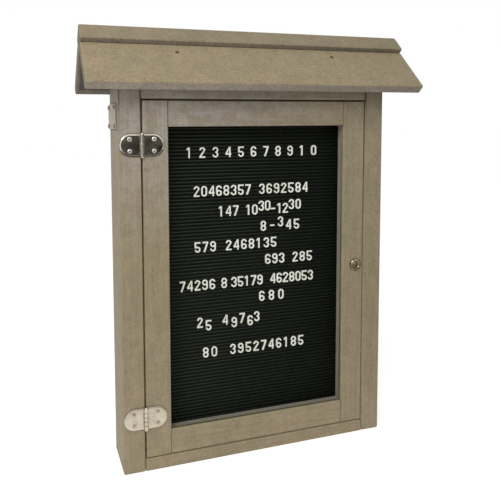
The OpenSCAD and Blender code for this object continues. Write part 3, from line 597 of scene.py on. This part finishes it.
def joinShape(target, part, matrix=None):
    # adds a copy of part, moved by matrix, and leaves part as it was
    mesh = bpy.data.meshes.new("part")
    part.to_mesh(mesh)
    if matrix is not None:
        mesh.transform(matrix)
        if matrix.determinant() < 0:
            mesh.flip_normals()
    target.from_mesh(mesh)
    bpy.data.meshes.remove(mesh)


def cadShape(node, merge=0.004 * mm):
    # the CAD node's shape, with its flat faces whole again
    shape = bmesh.new()
    shape.from_mesh(nodes[node].data)
    bmesh.ops.remove_doubles(shape, verts=shape.verts[:], dist=merge)
    bmesh.ops.dissolve_limit(shape, angle_limit=radians(0.4), verts=shape.verts[:],
                             edges=shape.edges[:])
    return shape


def lathe(outline, steps=48):
    # spins an outline of (radius, height) round the z axis
    shape = bmesh.new()
    verts = [shape.verts.new((radius, 0, height)) for radius, height in outline]
    edges = [shape.edges.new(pair) for pair in zip(verts, verts[1:])]
    bmesh.ops.spin(shape, geom=verts + edges, cent=(0, 0, 0), axis=(0, 0, 1), dvec=(0, 0, 0),
                   angle=2 * pi, steps=steps, use_merge=True, use_duplicate=False)
    bmesh.ops.remove_doubles(shape, verts=shape.verts[:], dist=sameSpot)
    bmesh.ops.recalc_face_normals(shape, faces=shape.faces[:])
    return shape


def cutAway(shape, cutter):
    # takes the cutter's shape out of the first one
    holders = []
    for part in (shape, cutter):
        mesh = bpy.data.meshes.new("part")
        part.to_mesh(mesh)
        part.free()
        holders.append(bpy.data.objects.new("part", mesh))
        scene.collection.objects.link(holders[-1])
    cut = holders[0].modifiers.new("cut", "BOOLEAN")
    cut.object = holders[1]
    cut.operation = "DIFFERENCE"
    cut.solver = "EXACT"
    bpy.context.view_layer.update()
    depsgraph = bpy.context.evaluated_depsgraph_get()
    made = bpy.data.meshes.new_from_object(holders[0].evaluated_get(depsgraph))
    result = bmesh.new()
    result.from_mesh(made)
    for holder in holders:
        mesh = holder.data
        bpy.data.objects.remove(holder)
        bpy.data.meshes.remove(mesh)
    bpy.data.meshes.remove(made)
    return result


def block(size, centre=(0, 0, 0)):
    shape = bmesh.new()
    bmesh.ops.create_cube(shape, size=1)
    bmesh.ops.scale(shape, vec=size, verts=shape.verts[:])
    move(shape, centre)
    return shape


def pieceName(node):
    # side_board_left becomes sideBoardLeft
    first, *others = node.split("_")
    return first + "".join(word.capitalize() for word in others)


creaseAngle = 32  # degrees; edges sharper than this stay sharp in the shading


def addPiece(shape, name, body, material, stands):
    mesh = bpy.data.meshes.new(name)
    shape.to_mesh(mesh)
    shape.free()
    mesh.materials.clear()
    mesh.materials.append(material)
    mesh.polygons.foreach_set("material_index", [0] * len(mesh.polygons))
    mesh.shade_smooth()
    mesh.set_sharp_from_angle(angle=radians(creaseAngle))
    piece = bpy.data.objects.new(name, mesh)
    scene.collection.objects.link(piece)
    weighted = piece.modifiers.new("flatFaces", "WEIGHTED_NORMAL")
    weighted.keep_sharp = True
    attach(piece, body)
    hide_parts(*stands)


# Lumber: the CAD boards with their sawn ends eased
lumberEase = {"case": 3.4 * mm, "door": 1.2 * mm, "roof": 2.6 * mm, "steps": 4}
lumberPieces = [  # node, axis it runs along, which of its ends are eased, and finish
    ("side_board_left", "z", "low", caseAlongZ),
    ("side_board_right", "z", "low", caseAlongZ),
    ("bottom_board", "x", "both", caseAlongX),
    ("top_board", "x", "both", caseAlongX),
    ("roof_board_front", "x", "both", roofAlongX),
    ("roof_board_rear", "x", "both", roofRear),
    ("door_stile_left", "z", "both", caseAlongZ),
    ("door_stile_right", "z", "both", caseAlongZ),
    ("door_rail_top", "x", "both", caseAlongX),
    ("door_rail_bottom", "x", "both", caseAlongX),
]


def easeEnds(node, axis, which, width, steps):
    shape = cadShape(node)
    low, high = (getattr(corner, axis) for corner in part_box(node))
    for end in [low] if which == "low" else [low, high]:
        roundEdges(shape, planeRims(shape, axis, end), width, steps)
    return shape


for node, axis, which, material in lumberPieces:
    kind = node.split("_")[0] if node.startswith(("door", "roof")) else "case"
    body = "door" if kind == "door" else "case"
    board = easeEnds(node, axis, which, lumberEase[kind], lumberEase["steps"])
    addPiece(board, pieceName(node), body, material, [node])
print("lumber ends eased:", len(lumberPieces))

# Ridge beam: a square section laid on its corner, rounded all over
beamLook = {"side": 36 * mm, "round": 2.6 * mm, "steps": 4}


def ridgeBeam(look):
    low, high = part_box("ridge_beam")
    shape = block((high.x - low.x, look["side"], look["side"]))
    roundEdges(shape, shape.edges[:], look["round"], look["steps"])
    bmesh.ops.rotate(shape, cent=(0, 0, 0), matrix=Matrix.Rotation(pi / 4, 3, "X"),
                     verts=shape.verts[:])
    move(shape, (low + high) / 2)
    return shape


addPiece(ridgeBeam(beamLook), "ridgeBeam", "case", beamAlongX, ["ridge_beam"])

# Numerals: the CAD shapes with the moulded softness of their front edges
numeralEase = {"width": 0.35 * mm, "steps": 2, "merge": 0.03 * mm}


def softNumerals(node, ease):
    shape = cadShape(node, ease["merge"])
    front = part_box(node)[0].y
    roundEdges(shape, planeRims(shape, "y", front), ease["width"], ease["steps"])
    return shape


for node in finishes[numeralWhite]:
    addPiece(softNumerals(node, numeralEase), pieceName(node), "case",
             numeralWhite, [node])
print("numerals softened")

# Screws in millimetres: the head's outline is in parts of its radius and of its dome
screwLooks = {
    "hinge": {"head": 8.2, "shank": 4.0, "dome": 0.75, "long": 13.0, "countersunk": True,
              "outline": [(0, 1), (0.35, 0.93), (0.62, 0.74), (0.84, 0.42), (0.97, 0.10), (1, 0)],
              "cross": 4.6, "blade": 0.95, "deep": 1.5, "foot": 0.55},
    "plate": {"head": 7.5, "shank": 4.0, "dome": 2.4, "long": 24.5, "countersunk": False,
              "outline": [(0, 1), (0.45, 0.97), (0.72, 0.86), (0.90, 0.64), (0.985, 0.38),
                          (1, 0.16), (0.97, 0)],
              "cross": 4.4, "blade": 1.0, "deep": 1.5, "foot": 0.55},
}


def cutCross(shape, look):
    # two crossed blades that narrow towards their foot, as a driver's tip does
    top = look["dome"] * mm
    for size in ((look["cross"], look["blade"]), (look["blade"], look["cross"])):
        blade = block((size[0] * mm, size[1] * mm, 2 * look["deep"] * mm), (0, 0, top))
        low = [vert for vert in blade.verts if vert.co.z < top]
        bmesh.ops.scale(blade, vec=(look["foot"], look["foot"], 1), verts=low)
        shape = cutAway(shape, blade)
    return shape


def screwShape(look):
    radius, shank = look["head"] / 2, look["shank"] / 2
    seat = shank - radius if look["countersunk"] else 0
    outline = [(radius * out, look["dome"] * up) for out, up in look["outline"]]
    outline += [(shank, seat), (shank, -look["long"]), (0, -look["long"])]
    return cutCross(lathe([(out * mm, up * mm) for out, up in outline], 40), look)


def placed(origin, side, up, out):
    # a matrix whose x, y and z are the given directions
    columns = [Vector(side), Vector(up), Vector(out)]
    turn = Matrix(columns).transposed().to_4x4()
    return Matrix.Translation(origin) @ turn


def turnedScrew(place, out, angle):
    # the driver stops at a different angle in every screw
    out = Vector(out)
    side = out.orthogonal().normalized()
    return placed(place, side, out.cross(side), out) @ Matrix.Rotation(angle, 4, "Z")


# Hinges: half-round leaves with a bright rounded rim, five knuckles and a headed pin
hingeLook = {
    "rimWide": 2.3 * mm,  # the rim slopes down to the plate's edge
    "rimDeep": 0.85 * mm,
    "rimSoft": 0.3 * mm,
    "softSteps": 2,
    "knuckles": 5,
    "knuckleRadius": 3.7 * mm,
    "knuckleGap": 0.45 * mm,
    "knuckleRim": 0.75 * mm,
    "rimSteps": 3,
    "leafCut": 0.5 * mm,
    "leafThick": 2.0 * mm,
    "leafSteps": 96,
    "tongueStart": 1.5 * mm,  # from the hinge's axis, so it ends beside the bore
    "tongueOver": 0.4 * mm,  # how far it runs on into the plate
    "pinRadius": 2.0 * mm,
    "boreRadius": 2.05 * mm,
    "headRadius": 3.2 * mm,
    "headTall": 2.3 * mm,
    "headOutline": [(0, 1), (0.45, 0.96), (0.78, 0.80), (0.96, 0.48), (1, 0.2), (1, 0)],
    "screwOut": 21 * mm,
    "screwStep": 10 * mm,
    "screwTurns": (0.7, 1.1),  # radians more at the lower hinge, and up and down from its middle
}


def leafPlate(look, height):
    # drawn flat: x away from the barrel, y up, z towards the viewer
    radius = height / 2
    start = look["knuckleRadius"] + look["leafCut"]
    shape = bmesh.new()
    bmesh.ops.create_circle(shape, cap_ends=True, segments=look["leafSteps"], radius=radius)
    move(shape, (radius, 0, 0))
    bmesh.ops.bisect_plane(shape, geom=shape.verts[:] + shape.edges[:] + shape.faces[:],
                           plane_co=(radius, 0, 0), plane_no=(1, 0, 0), clear_inner=True)
    straight = [edge for edge in shape.edges
                if all(abs(vert.co.x - radius) < onPlane for vert in edge.verts)]
    grown = bmesh.ops.extrude_edge_only(shape, edges=straight)
    move(shape, (start - radius, 0, 0), newVerts(grown))
    bmesh.ops.dissolve_limit(shape, angle_limit=radians(0.5), verts=shape.verts[:],
                             edges=shape.edges[:])
    grown = bmesh.ops.extrude_face_region(shape, geom=shape.faces[:])
    move(shape, (0, 0, look["leafThick"] - look["rimDeep"]), newVerts(grown))
    bmesh.ops.recalc_face_normals(shape, faces=shape.faces[:])
    front = [face for face in shape.faces if face.normal.z > 0.9]
    bmesh.ops.inset_region(shape, faces=front, thickness=look["rimWide"], depth=look["rimDeep"],
                           use_even_offset=True, use_boundary=True)
    # beside the barrel the plate stays flat
    inner = start + look["rimWide"]
    flat = [vert for vert in shape.verts
            if vert.co.z > look["leafThick"] - onPlane and vert.co.x < inner + onPlane]
    move(shape, (-look["rimWide"], 0, 0), flat)
    soft = rims(shape, lambda co: co.z > onPlane, 12)
    roundEdges(shape, soft, look["rimSoft"], look["softSteps"])
    return shape


def knuckle(look, tall):
    # a short tube round the pin, with its outer rims rounded
    bore, radius, half = look["boreRadius"], look["knuckleRadius"], tall / 2
    shape = lathe([(bore, -half), (radius, -half), (radius, half), (bore, half), (bore, -half)])
    outer = rims(shape, lambda co: abs(co.z) > half - onPlane and co.xy.length > bore + mm, 60)
    roundEdges(shape, outer, look["knuckleRim"], look["rimSteps"])
    return shape


def hingeTongue(look, tall):
    # joins the plate to its knuckle
    start = look["tongueStart"]
    reach = look["knuckleRadius"] + look["leafCut"] + look["tongueOver"]
    shape = block((reach - start, tall, look["leafThick"]),
                  ((reach + start) / 2, 0, look["leafThick"] / 2))
    roundEdges(shape, rims(shape, lambda co: co.z > 0, 60), look["rimSoft"], look["softSteps"])
    return shape


def hingeLeaf(look, axis, height, side, slots):
    # side is -1 on the case and 1 on the door
    shape = bmesh.new()
    back = axis.y + look["knuckleRadius"]
    across = placed((axis.x, back, axis.z), (side, 0, 0), (0, 0, 1), (0, -1, 0))
    plate = leafPlate(look, height)
    joinShape(shape, plate, across)
    tall = (height - (look["knuckles"] - 1) * look["knuckleGap"]) / look["knuckles"]
    barrel = knuckle(look, tall)
    tongue = hingeTongue(look, tall)
    for index in slots:
        rise = -height / 2 + tall / 2 + index * (tall + look["knuckleGap"])
        joinShape(shape, barrel, Matrix.Translation((axis.x, axis.y, axis.z + rise)))
        joinShape(shape, tongue, across @ Matrix.Translation((0, rise, 0)))
    for part in (plate, barrel, tongue):
        part.free()
    return shape


def hingePin(look, axis, height):
    head, tall, half = look["headRadius"], look["headTall"], height / 2
    outline = [(head * out, half + tall * up) for out, up in look["headOutline"]]
    outline.append((look["pinRadius"], half))
    outline += [(out, -up) for out, up in reversed(outline)]
    shape = lathe(outline)
    move(shape, axis)
    return shape


def addHinge(look, level, metal):
    low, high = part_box("hinge_" + level + "_case_leaf")
    height = high.z - low.z
    radius = look["knuckleRadius"]
    axis = Vector((high.x - radius, low.y + radius, (low.z + high.z) / 2))
    title = "hinge" + level.capitalize()
    addPiece(hingeLeaf(look, axis, height, -1, (0, 2, 4)), title + "CaseLeaf", "case",
             metal, ["hinge_" + level + "_case_leaf"])
    addPiece(hingeLeaf(look, axis, height, 1, (1, 3)), title + "DoorLeaf", "door",
             metal, ["hinge_" + level + "_door_leaf"])
    addPiece(hingePin(look, axis, height), title + "Pin", "case",
             metal, ["hinge_" + level + "_pin"])
    return axis


# rain splashed up from the ground has dulled the lower one
hingeAxes = [addHinge(hingeLook, "upper", metals["polished"]),
             addHinge(hingeLook, "lower", metals["splashed"])]


def addHingeScrews(look, side, name, body, node):
    screw = screwShape(screwLooks["hinge"])
    levels = zip(("Upper", "Lower"), hingeAxes, (metals["screw"], metals["splashedScrew"]))
    byHinge, byScrew = look["screwTurns"]
    for number, (level, axis, metal) in enumerate(levels):
        shape = bmesh.new()
        front = axis.y + look["knuckleRadius"] - look["leafThick"]
        for step in (-1, 1):
            place = (axis.x + side * look["screwOut"], front, axis.z + step * look["screwStep"])
            angle = byHinge * number + byScrew * step + side
            joinShape(shape, screw, turnedScrew(place, (0, -1, 0), angle))
        addPiece(shape, name + level, body, metal, [node])
    screw.free()


addHingeScrews(hingeLook, -1, "hingeCaseScrews", "case", "hinge_case_screws")
addHingeScrews(hingeLook, 1, "hingeDoorScrews", "door", "hinge_door_screws")
print("hinges built")

# Lock: a rounded head on a threaded barrel, and a plug with a keyway
lockLook = {
    "headRadius": 11 * mm,
    "headTall": 3.5 * mm,
    "rim": 1.1 * mm,
    "rimSoft": 0.6 * mm,
    "rimSteps": 3,
    "barrelRadius": 9 * mm,
    "barrelLong": 24 * mm,
    "boreRadius": 6.05 * mm,
    "boreEase": 0.7 * mm,
    "threads": 12,
    "threadDeep": 0.35 * mm,
    "plugRadius": 6 * mm,
    "plugEase": 0.4 * mm,
    "keyWide": 2.0 * mm,
    "keyTall": 7.5 * mm,
    "keyDeep": 12 * mm,
    "wardWide": 4.6 * mm,  # the sideways cut across the keyway
    "wardTall": 1.1 * mm,
    "wardDeep": 1.2 * mm,
}


def lockBarrel(look):
    tall, wide, head = look["headTall"], look["barrelRadius"], look["headRadius"]
    bore, ease, rim = look["boreRadius"], look["boreEase"], look["rim"]
    outline = [(bore, -look["barrelLong"]), (bore, tall - ease), (bore + ease, tall),
               (head - rim, tall), (head, tall - rim), (head, 0), (wide, 0)]
    step = look["barrelLong"] / (2 * look["threads"])
    for turn in range(look["threads"]):
        outline += [(wide - look["threadDeep"], -(2 * turn + 1) * step),
                    (wide, -(2 * turn + 2) * step)]
    outline.append(outline[0])
    shape = lathe(outline, 64)
    ring = [edge for edge in shape.edges
            if all(abs(vert.co.z - tall) < onPlane and vert.co.xy.length > wide
                   for vert in edge.verts)]
    roundEdges(shape, ring, look["rimSoft"], look["rimSteps"])
    return shape


def lockPlug(look, low, high):
    # low and high are the depths of the plug's ends, seen from the door's face
    radius, ease = look["plugRadius"], look["plugEase"]
    plug = lathe([(0, high), (radius - ease, high), (radius, high - ease), (radius, low), (0, low)])
    keyway = block((look["keyWide"], look["keyTall"], 2 * look["keyDeep"]), (0, 0, high))
    ward = block((look["wardWide"], look["wardTall"], 2 * look["wardDeep"]),
                 (0, -look["keyTall"] / 4, high))
    return cutAway(cutAway(plug, keyway), ward)


def addLock(look):
    low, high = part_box("lock_housing")
    face = low.y + look["headTall"]
    centre = ((low.x + high.x) / 2, face, (low.z + high.z) / 2)
    forward = placed(centre, (1, 0, 0), (0, 0, 1), (0, -1, 0))
    housing = bmesh.new()
    joinShape(housing, lockBarrel(look), forward)
    addPiece(housing, "lockHousing", "door", metals["lock"], ["lock_housing"])
    plugLow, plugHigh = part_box("lock_plug")
    plug = bmesh.new()
    joinShape(plug, lockPlug(look, face - plugHigh.y, face - plugLow.y), forward)
    addPiece(plug, "lockPlug", "lock", metals["lock"], ["lock_plug"])


addLock(lockLook)
print("lock built")

# Side plates: thin pressed plates with rounded corners, each held by four pan screws
plateLook = {
    "corner": 3 * mm,
    "cornerSteps": 6,
    "rim": 0.5 * mm,
    "rimSteps": 3,
    "screwIn": 8 * mm,
    "screwUp": 5.5 * mm,
    "screwTurns": (40, 90),  # radians for each metre across and up
}


def sidePlate(look, node, outer):
    low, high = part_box(node)
    shape = block(high - low, (low + high) / 2)
    corners = [edge for edge in shape.edges
               if abs(edge.verts[0].co.x - edge.verts[1].co.x) > mm]
    roundEdges(shape, corners, look["corner"], look["cornerSteps"])
    roundEdges(shape, planeRims(shape, "x", outer), look["rim"], look["rimSteps"])
    return shape


def addSidePlates(look):
    screws = bmesh.new()
    screw = screwShape(screwLooks["plate"])
    turnAcross, turnUp = look["screwTurns"]
    for side, node in ((-1, "side_plate_left"), (1, "side_plate_right")):
        low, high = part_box(node)
        outer = high.x if side > 0 else low.x
        addPiece(sidePlate(look, node, outer), pieceName(node), "case",
                 metals["plate"], [node])
        for y in (low.y + look["screwIn"], high.y - look["screwIn"]):
            for z in (low.z + look["screwUp"], high.z - look["screwUp"]):
                angle = turnAcross * y + turnUp * z
                joinShape(screws, screw, turnedScrew((outer, y, z), (side, 0, 0), angle))
    screw.free()
    addPiece(screws, "plateScrews", "case", metals["plateScrew"], ["plate_screws"])


addSidePlates(plateLook)
print("side plates built")

# Studio: a white room with a large lamp on the left and a low one in front
studioLook = {
    "floorSize": 9,
    "floorColour": (0.84, 0.84, 0.83),
    "floorLift": 0.54,  # added for the camera, so the floor reads as white
    "skyStrength": 0.54,
    "keyPlace": (-1.30, -1.45, 1.95),
    "keyTarget": (0, 0, 0.4),
    "keySize": 1.0,
    "keyPower": 26.0,
    "fillPlace": (-0.4, -1.6, 0.16),
    "fillTarget": (0, 0, 0.2),
    "fillSize": 0.8,
    "fillPower": 2.6,
    "flagShade": (0.020, 0.020, 0.017),
    "flags": [((0.9, -2.6, 0.40), (3.4, 0.02, 0.56)),  # in front, low down before the board
              ((0.5, -0.80, 0.01), (4.2, 0.8, 0.005)),
              ((2.3, -0.6, 0.60), (0.02, 2.2, 1.2)),  # and at each side
              ((-2.3, -0.3, 0.60), (0.02, 1.8, 1.2))],
}


def seenDirectly(tree):
    # 1 for rays that show the background: to the eye, in metal and through glass
    rays = addNode(tree, "LightPath").outputs
    seen = calculate(tree, "MAXIMUM", rays["Is Camera Ray"], rays["Is Glossy Ray"])
    return calculate(tree, "MAXIMUM", seen, rays["Is Transmission Ray"])


def studioItem(name, shape, material):
    mesh = bpy.data.meshes.new(name)
    shape.to_mesh(mesh)
    shape.free()
    mesh.materials.append(material)
    item = bpy.data.objects.new(name, mesh)
    scene.collection.objects.link(item)
    return item


def addFloor(look):
    material, tree, shader = startMaterial("pale_floor")
    grain = noise(tree, objectPlace(tree), 240)
    finishShader(tree, shader, look["floorColour"], 0.9, grain, 0.02 * mm,
                 **{"Specular IOR Level": 0.1})
    plug(tree, shader.inputs["Emission Color"], (1, 1, 1))
    lift = multiply(tree, seenDirectly(tree), look["floorLift"])
    plug(tree, shader.inputs["Emission Strength"], lift)
    shape = bmesh.new()
    bmesh.ops.create_grid(shape, x_segments=1, y_segments=1, size=look["floorSize"])
    floor = studioItem("studioFloor", shape, material)


def addSky(look):
    world = bpy.data.worlds.new("studioSky")
    world.use_nodes = True
    tree = world.node_tree
    tree.nodes.clear()
    inputs = {"Value": seenDirectly(tree), "To Min": look["skyStrength"], "To Max": 1.0}
    strength = addNode(tree, "MapRange", inputs).outputs[0]
    back = addNode(tree, "Background", {"Color": (1, 1, 1), "Strength": strength})
    output = addNode(tree, "OutputWorld")
    tree.links.new(back.outputs[0], output.inputs["Surface"])
    scene.world = world


def addLamp(look, kind, mirrored):
    data = bpy.data.lights.new(kind + "Lamp", "AREA")
    data.shape = "SQUARE"
    data.size = look[kind + "Size"]
    data.energy = look[kind + "Power"]
    lamp = bpy.data.objects.new(kind + "Lamp", data)
    lamp.visible_glossy = mirrored
    scene.collection.objects.link(lamp)
    place = Vector(look[kind + "Place"])
    turn = (Vector(look[kind + "Target"]) - place).to_track_quat("-Z", "Y")
    lamp.matrix_world = Matrix.Translation(place) @ turn.to_matrix().to_4x4()


def addFlags(look):
    # dark boards that only polished metal and glass reflect
    shape = bmesh.new()
    for place, size in look["flags"]:
        board = block(size, place)
        joinShape(shape, board)
        board.free()
    material, tree, shader = startMaterial("dark_flag")
    weave = noise(tree, objectPlace(tree), 60)
    finishShader(tree, shader, look["flagShade"], 0.9, weave, 0.1 * mm)
    flag = studioItem("studioFlag", shape, material)
    flag.visible_camera = False
    flag.visible_diffuse = False
    flag.visible_shadow = False
    flag.visible_transmission = False


addFloor(studioLook)
addSky(studioLook)
addFlags(studioLook)
addLamp(studioLook, "key", True)
addLamp(studioLook, "fill", False)
print("studio lit")
